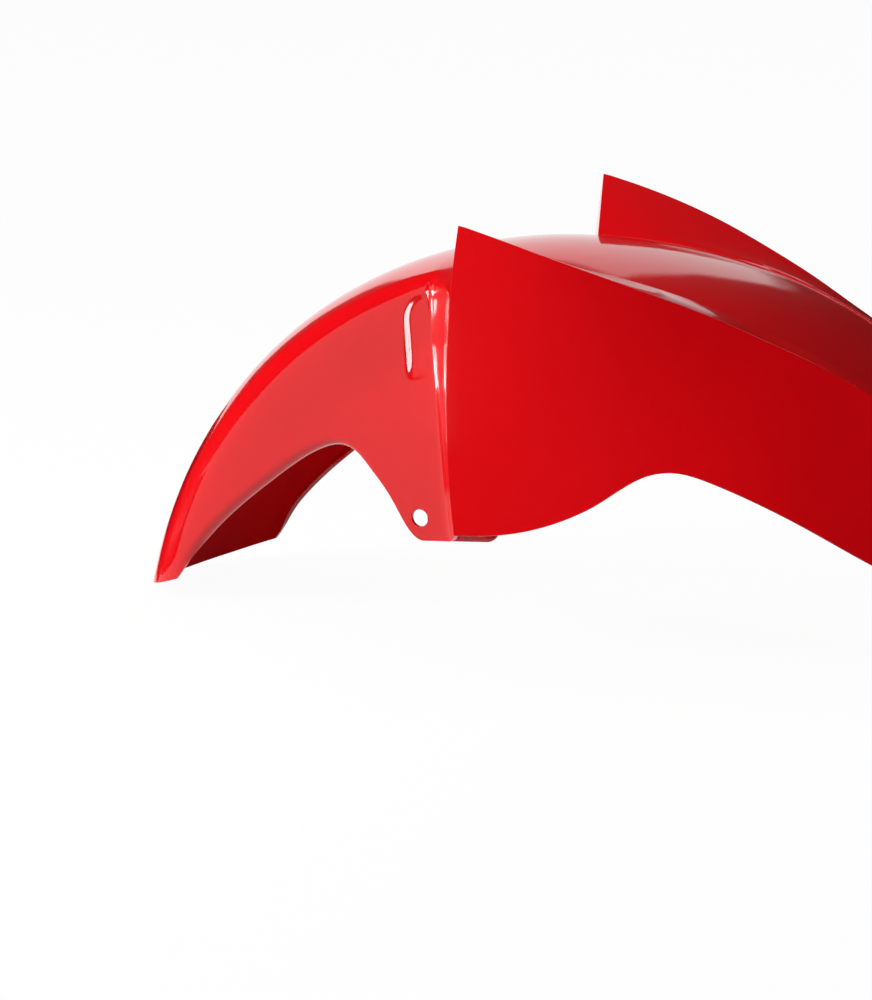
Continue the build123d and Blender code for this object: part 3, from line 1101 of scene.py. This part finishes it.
@dataclass(frozen=True)
class GlossPaint:
    """Gloss red paint on moulded plastic: a clear coat over a red that varies a little."""

    base: Colour = (0.74, 0.0022, 0.0055)
    deep: Colour = (0.66, 0.0016, 0.0042)
    roughness: tuple[float, float] = (0.26, 0.38)
    under_gloss: float = 0.03
    coat_roughness: float = 0.03
    refraction: float = 1.5
    cloud_scale: float = 14.0
    peel_scale: float = 520.0
    peel_height: float = 0.03
    wave_scale: float = 22.0
    wave_height: float = 0.35

    def material(self, name: str, effects: Effects) -> Material:
        """Build the paint: clouded colour and roughness, and a bump of fine peel and slow waves.

        Args:
            name: Name of the material.
            effects: Shared effects.

        Returns:
            The material.
        """
        material, clouds = effects.tinted(name, self)
        nodes = material.node_tree.nodes
        links = material.node_tree.links
        shader = nodes["Principled BSDF"]
        polish = nodes.new("ShaderNodeMapRange")
        set_inputs(polish, {"To Min": self.roughness[0], "To Max": self.roughness[1]})
        links.new(clouds, polish.inputs["Value"])
        links.new(polish.outputs["Result"], shader.inputs["Roughness"])
        flat = nodes.new("ShaderNodeNewGeometry").outputs["Normal"]
        wave = effects.tilted(material, flat, self.wave_scale, self.wave_height)
        peel = effects.tilted(material, wave, self.peel_scale, self.peel_height)
        links.new(peel, shader.inputs["Normal"])
        links.new(peel, shader.inputs["Coat Normal"])
        gloss = {"IOR": self.refraction, "Specular IOR Level": self.under_gloss}
        coat = {"Coat IOR": self.refraction, "Coat Roughness": self.coat_roughness, "Coat Weight": 1.0}
        set_inputs(shader, {**gloss, **coat})
        return material


@dataclass(frozen=True)
class MattInside:
    """Inner side of the moulding: bare, lightly grained plastic with thin overspray."""

    base: Colour = (0.86, 0.004, 0.008)
    deep: Colour = (0.74, 0.003, 0.007)
    roughness: float = 0.6
    gloss: float = 0.12
    grain_scale: float = 900.0
    grain_height: float = 0.05
    cloud_scale: float = 9.0

    def material(self, name: str, effects: Effects) -> Material:
        """Build the finish: clouded overspray and a fine grain.

        Args:
            name: Name of the material.
            effects: Shared effects.

        Returns:
            The material.
        """
        material, _ = effects.tinted(name, self)
        nodes = material.node_tree.nodes
        shader = nodes["Principled BSDF"]
        flat = nodes.new("ShaderNodeNewGeometry").outputs["Normal"]
        grain = effects.tilted(material, flat, self.grain_scale, self.grain_height)
        material.node_tree.links.new(grain, shader.inputs["Normal"])
        set_inputs(shader, {"Roughness": self.roughness, "Specular IOR Level": self.gloss})
        return material


@dataclass
class Mudguard:
    """The whole moulding: skin, wall, bolt holes, rounded edges and ear flanges."""

    paint: GlossPaint = field(default_factory=GlossPaint)
    inside: MattInside = field(default_factory=MattInside)
    grid: Grid = field(default_factory=Grid)
    wall: float = 3.0
    bolt_hole_diameter: float = 13.0
    bolt_hole_segments: int = 48
    cutter_reach: float = 120.0
    edge_round: float = 0.4
    edge_segments: int = 2
    edge_angle: float = 33.0

    def skin(self) -> Object:
        """Outer skin of both halves, welded along the middle."""
        crown = Crown()
        edge = LowerEdge()
        arch = RearArch(crown, edge, self.grid)
        wing = Wing(crown, edge, self.grid)
        rear = arch.rows()
        fork = wing.fork_rows(rear[-1])
        front = wing.wing_rows(fork[-1])
        fin = wing.fin_rear(fork[-1], front[0])
        mesh = ShellMesh()
        for side in Side:
            mesh.add_grid(np.concatenate([rear, fork]), side)
            mesh.add_grid(fin, side)
            mesh.add_grid(front, side)
        return mesh.to_object("mudguard_shell")

    def bolt_line(self) -> Object:
        """Cutter along the fork bolts: a ring of points carried across the whole width."""
        turn = np.linspace(0.0, 2.0 * pi, self.bolt_hole_segments, endpoint=False)
        ring = np.stack([np.cos(turn), np.zeros_like(turn), np.sin(turn)], axis=-1)
        ring *= 0.5 * self.bolt_hole_diameter
        reach = np.array([0.0, self.cutter_reach, 0.0])
        return prism("bolt_line", ring - reach, ring + reach)

    def round_edges(self, item: Object) -> None:
        """Round the sharp edges of a piece by a small radius."""
        bevel = item.modifiers.new("edge_round", "BEVEL")
        bevel.width = self.edge_round * MM
        bevel.segments = self.edge_segments
        bevel.limit_method = "ANGLE"
        bevel.angle_limit = radians(self.edge_angle)
        bevel.use_clamp_overlap = False
        bevel.harden_normals = True

    def finished(self, item: Object) -> Mesh:
        """Mesh of a piece with its modifiers settled and no slivers; the piece itself is taken away.

        Args:
            item: Piece with modifiers.

        Returns:
            The settled mesh.
        """
        bpy.context.view_layer.update()
        settled = item.evaluated_get(bpy.context.evaluated_depsgraph_get())
        mesh = bpy.data.meshes.new_from_object(settled)
        work = bmesh.new()
        work.from_mesh(mesh)
        bmesh.ops.dissolve_degenerate(work, dist=SLIVER, edges=work.edges)
        work.to_mesh(mesh)
        work.free()
        bpy.data.objects.remove(item)
        return mesh

    def hollow_shell(self) -> Mesh:
        """Painted skin with its wall, bolt holes and rounded edges.

        Returns:
            The settled mesh.
        """
        shell = self.skin()
        effects = Effects()
        shell.data.materials.append(self.paint.material("gloss_red_paint", effects))
        shell.data.materials.append(self.inside.material("matt_inside", effects))
        thickness = shell.modifiers.new("wall", "SOLIDIFY")
        thickness.thickness = self.wall * MM
        thickness.offset = -1.0
        thickness.use_even_offset = True
        thickness.material_offset = 1
        cutter = self.bolt_line()
        holes = shell.modifiers.new("bolt_holes", "BOOLEAN")
        holes.operation = "DIFFERENCE"
        holes.solver = "MANIFOLD"
        holes.object = cutter
        self.round_edges(shell)
        mesh = self.finished(shell)
        bpy.data.objects.remove(cutter)
        return mesh

    def build(self) -> Object:
        """Build the moulding: the hollow shell joined with the ear flanges.

        Returns:
            The finished piece, riding on the part's one body.
        """
        pieces = [self.hollow_shell()]
        flanges = [EarFlange(LowerEdge()).build(side) for side in Side]
        for flange in flanges:
            flange.data.materials.append(pieces[0].materials[0])
            self.round_edges(flange)
        pieces += [self.finished(flange) for flange in flanges]
        items = [add_object("moulding", piece) for piece in pieces]
        with bpy.context.temp_override(
            active_object=items[0], object=items[0], selected_editable_objects=items
        ):
            bpy.ops.object.join()
        moulding = items[0]
        moulding.name = "mudguard_moulding"
        moulding.data.name = "mudguard_moulding"
        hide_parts("mudguard")
        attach(moulding, "root")
        return moulding


@dataclass(frozen=True)
class UprightCard:
    """Upright sheet beside the moulding that only reflections see, in metres."""

    name: str
    start: Point
    end: Point
    low: float
    high: float

    def corners(self) -> list[Point]:
        """The four corners, along the foot and back along the top."""
        foot = [(*self.start, self.low), (*self.end, self.low)]
        return foot + [(*self.end, self.high), (*self.start, self.high)]


class Heading(Enum):
    """Parts of a direction in the sky, by the name of their socket."""

    AHEAD = "X"
    UP = "Z"


@dataclass(frozen=True)
class SkyEdge:
    """Soft slanted edge of the sky's white part.

    The sky is white where one part of the direction plus a lean times another part is below the start,
    and dark where that sum is above the end.
    """

    along: Heading
    leaning: Heading
    lean: float
    start: float
    end: float

    def add(self, world: World, split: Node) -> Socket:
        """Add the edge to a world.

        Args:
            world: World to add it to.
            split: Node that splits the direction.

        Returns:
            The socket that gives the share of white.
        """
        tree = world.node_tree
        total = tree.nodes.new("ShaderNodeMath")
        total.operation = "MULTIPLY_ADD"
        total.inputs[1].default_value = self.lean
        tree.links.new(split.outputs[self.leaning.value], total.inputs[0])
        tree.links.new(split.outputs[self.along.value], total.inputs[2])
        edge = tree.nodes.new("ShaderNodeMapRange")
        edge.interpolation_type = "SMOOTHSTEP"
        set_inputs(edge, {"From Min": self.start, "From Max": self.end, "To Min": 1.0, "To Max": 0.0})
        tree.links.new(total.outputs["Value"], edge.inputs["Value"])
        return edge.outputs["Result"]


@dataclass
class Studio:
    """White floor and sky, soft lamps, sheets that only reflections see, and the camera."""

    floor_z: float = -0.0872
    floor_half: float = 8.0
    target: Point = (0.00887879, -0.06157136, 0.01297572)
    azimuth: float = 29.0
    elevation: float = 13.3
    distance: float = 6.0
    lens: float = 291.6
    sensor: float = 36.0
    sky_edges: tuple[SkyEdge, ...] = (
        SkyEdge(Heading.UP, Heading.AHEAD, -1.05, 0.96, 1.02),
        SkyEdge(Heading.UP, Heading.AHEAD, -4.0, 2.8, 2.9),
        SkyEdge(Heading.AHEAD, Heading.UP, 0.3, -0.192, -0.164),
        SkyEdge(Heading.AHEAD, Heading.UP, -0.5, -0.45, -0.41),
    )
    sky_dark: float = 0.02
    fill: float = 0.14
    floor_glow: float = 0.96
    floor_bounce: float = 0.8
    card_foot: float = -0.0852
    dark_cards: tuple[UprightCard, ...] = (
        UprightCard("card_right", (0.0, -0.2), (1.2, -0.2), card_foot, 0.45),
        UprightCard("card_right_rear", (-0.035, -0.2), (0.0, -0.2), -0.045, 0.45),
        UprightCard("card_left", (0.0, 0.2), (1.2, 0.2), card_foot, 0.14),
        UprightCard("card_tail", (-0.35, -0.19), (-0.35, -0.065), card_foot, 0.008),
    )
    card_behind: tuple[Point, ...] = (
        (-0.28, -0.06), (-0.36, 0.05), (-0.5, 0.35), (-0.68, 0.62), (-1.15, 1.1), (-1.9, 1.6),
        (-3.2, 2.4), (-7.0, 4.5), (-7.0, -0.06),
    )
    panel_strength: float = 18.0
    bright_panels: tuple[UprightCard, ...] = (
        UprightCard("panel_right", (0.004, -0.13), (0.03, -0.13), 0.06, 0.16),
        UprightCard("panel_left", (0.004, 0.13), (0.03, 0.13), 0.06, 0.16),
    )
    patch_centre: Point = (0.012, -0.07)
    patch_reach: Point = (0.72, 1.05)
    patch_turn: Point = (2.0, 22.0)
    lamp_aim: Point = (0.1, 0.0, 0.08)
    lamp_size: float = 1.2
    key_place: Point = (-1.6, -1.5, 1.25)
    key_power: float = 69.0
    overhead_place: Point = (0.3, 0.6, 2.4)
    overhead_power: float = 14.0

    def camera(self) -> None:
        """Camera at the photograph's angle, with a long lens."""
        turn = radians(self.azimuth)
        rise = radians(self.elevation)
        back = Vector((sin(turn) * cos(rise), -cos(turn) * cos(rise), sin(rise)))
        data = bpy.data.cameras.new("camera")
        data.lens = self.lens
        data.sensor_width = self.sensor
        item = add_object("camera", data)
        item.location = Vector(self.target) + self.distance * back
        item.rotation_euler = back.to_track_quat("Z", "Y").to_euler()
        bpy.context.scene.camera = item

    def world(self) -> None:
        """World: white to the camera, and for reflections white near the horizon and dark above."""
        world = bpy.data.worlds.new("studio")
        bpy.context.scene.world = world
        world.use_nodes = True
        tree = world.node_tree
        nodes = tree.nodes
        links = tree.links
        path = nodes.new("ShaderNodeLightPath").outputs
        place = nodes.new("ShaderNodeTexCoord")
        split = nodes.new("ShaderNodeSeparateXYZ")
        links.new(place.outputs["Generated"], split.inputs["Vector"])
        white = self.sky_edges[0].add(world, split)
        for edge in self.sky_edges[1:]:
            white = combine(tree, "MULTIPLY", white, edge.add(world, split))
        height = nodes.new("ShaderNodeMapRange")
        height.inputs["To Min"].default_value = self.sky_dark
        links.new(white, height.inputs["Value"])
        glossy = nodes.new("ShaderNodeMix")
        glossy.inputs["A"].default_value = self.fill
        links.new(path["Is Glossy Ray"], glossy.inputs["Factor"])
        links.new(height.outputs["Result"], glossy.inputs["B"])
        seen = combine(tree, "MAXIMUM", path["Is Camera Ray"], path["Is Transmission Ray"])
        level = nodes.new("ShaderNodeMix")
        level.inputs["B"].default_value = 1.0
        links.new(seen, level.inputs["Factor"])
        links.new(glossy.outputs["Result"], level.inputs["A"])
        backdrop = nodes["Background"]
        backdrop.inputs["Color"].default_value = WHITE
        links.new(level.outputs["Result"], backdrop.inputs["Strength"])

    def sheet(self, name: str, corners: list[Point]) -> Object:
        """A flat sheet of the stage.

        Args:
            name: Name of the sheet.
            corners: Its corners, in metres.

        Returns:
            The sheet.
        """
        mesh = bpy.data.meshes.new(name)
        mesh.from_pydata([list(corner) for corner in corners], [], [list(range(len(corners)))])
        item = add_object(name, mesh)
        return item

    def floor(self) -> None:
        """Pale floor that is white to the camera and in reflections, and keeps a faint shadow."""
        reach = self.floor_half
        corners = [(-reach, -reach), (reach, -reach), (reach, reach), (-reach, reach)]
        item = self.sheet("floor", [(x, y, self.floor_z) for x, y in corners])
        material = new_material("pale_floor")
        nodes = material.node_tree.nodes
        links = material.node_tree.links
        shader = nodes["Principled BSDF"]
        set_inputs(shader, {"Roughness": 1.0, "Specular IOR Level": 0.0})
        path = nodes.new("ShaderNodeLightPath").outputs
        tone = nodes.new("ShaderNodeMix")
        tone.data_type = "RGBA"
        grey = (self.floor_bounce, self.floor_bounce, self.floor_bounce, 1.0)
        set_inputs(tone, {"A": grey, "B": WHITE})
        links.new(path["Is Camera Ray"], tone.inputs["Factor"])
        links.new(tone.outputs["Result"], shader.inputs["Base Color"])
        seen = combine(material.node_tree, "MAXIMUM", path["Is Camera Ray"], path["Is Glossy Ray"])
        seen = combine(material.node_tree, "MAXIMUM", seen, path["Is Transmission Ray"])
        share = combine(material.node_tree, "MULTIPLY", seen, self.floor_glow)
        glow = nodes.new("ShaderNodeEmission")
        blend = nodes.new("ShaderNodeMixShader")
        links.new(share, blend.inputs["Fac"])
        links.new(shader.outputs["BSDF"], blend.inputs[1])
        links.new(glow.outputs["Emission"], blend.inputs[2])
        links.new(blend.outputs["Shader"], nodes["Material Output"].inputs["Surface"])
        item.data.materials.append(material)

    def cards(self) -> None:
        """Dark cards that only reflections see, to keep the red of the wings and the tail deep."""
        material = new_material("dark_card")
        shader = material.node_tree.nodes["Principled BSDF"]
        set_inputs(shader, {"Base Color": BLACK, "Roughness": 1.0, "Specular IOR Level": 0.0})
        for card in self.dark_cards:
            self.reflected_only(self.sheet(card.name, card.corners()), material)
        behind = [(x, y, self.card_foot) for x, y in self.card_behind]
        self.reflected_only(self.sheet("card_behind", behind), material)

    def panels(self) -> None:
        """Bright panels and a floor patch that only reflections see, to draw lights on tight bends."""
        material = new_material("bright_panel")
        nodes = material.node_tree.nodes
        glow = nodes.new("ShaderNodeEmission")
        glow.inputs["Strength"].default_value = self.panel_strength
        output = nodes["Material Output"]
        material.node_tree.links.new(glow.outputs["Emission"], output.inputs["Surface"])
        for panel in self.bright_panels:
            self.reflected_only(self.sheet(panel.name, panel.corners()), material)
        near, far = self.patch_reach
        start, end = (radians(turn) for turn in self.patch_turn)
        middle_x, middle_y = self.patch_centre
        corners = [
            (middle_x - reach * cos(turn), middle_y - reach * sin(turn), self.card_foot)
            for reach, turn in ((near, start), (far, start), (far, end), (near, end))
        ]
        self.reflected_only(self.sheet("bright_patch", corners), material)

    def reflected_only(self, item: Object, material: Material) -> None:
        """Give a sheet its material and hide it from everything but reflections."""
        item.data.materials.append(material)
        item.visible_camera = False
        item.visible_diffuse = False
        item.visible_shadow = False
        item.visible_transmission = False

    def lamp(self, name: str, place: Point, power: float, mirrored: bool) -> None:
        """Square soft lamp aimed at the middle of the moulding.

        Args:
            name: Name of the lamp.
            place: Where it stands, in metres.
            power: Power in watts.
            mirrored: Whether reflections show it.
        """
        data = bpy.data.lights.new(name, "AREA")
        data.size = self.lamp_size
        data.energy = power
        item = add_object(name, data)
        item.location = place
        item.visible_glossy = mirrored
        away = Vector(place) - Vector(self.lamp_aim)
        item.rotation_euler = away.to_track_quat("Z", "Y").to_euler()

    def build(self) -> None:
        """Set up the whole stage."""
        self.camera()
        self.world()
        self.floor()
        self.cards()
        self.panels()
        self.lamp("key", self.key_place, self.key_power, mirrored=False)
        self.lamp("overhead", self.overhead_place, self.overhead_power, mirrored=True)
        bpy.context.scene.view_settings.view_transform = "Standard"


def main() -> None:
    """Build the moulding and the stage."""
    logging.basicConfig(level=logging.INFO, format="%(message)s")
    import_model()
    moulding = Mudguard().build()
    LOG.info("%s: %d faces", moulding.name, len(moulding.data.polygons))
    Studio().build()
    LOG.info("studio set up")


if __name__ == "__main__":
    main()
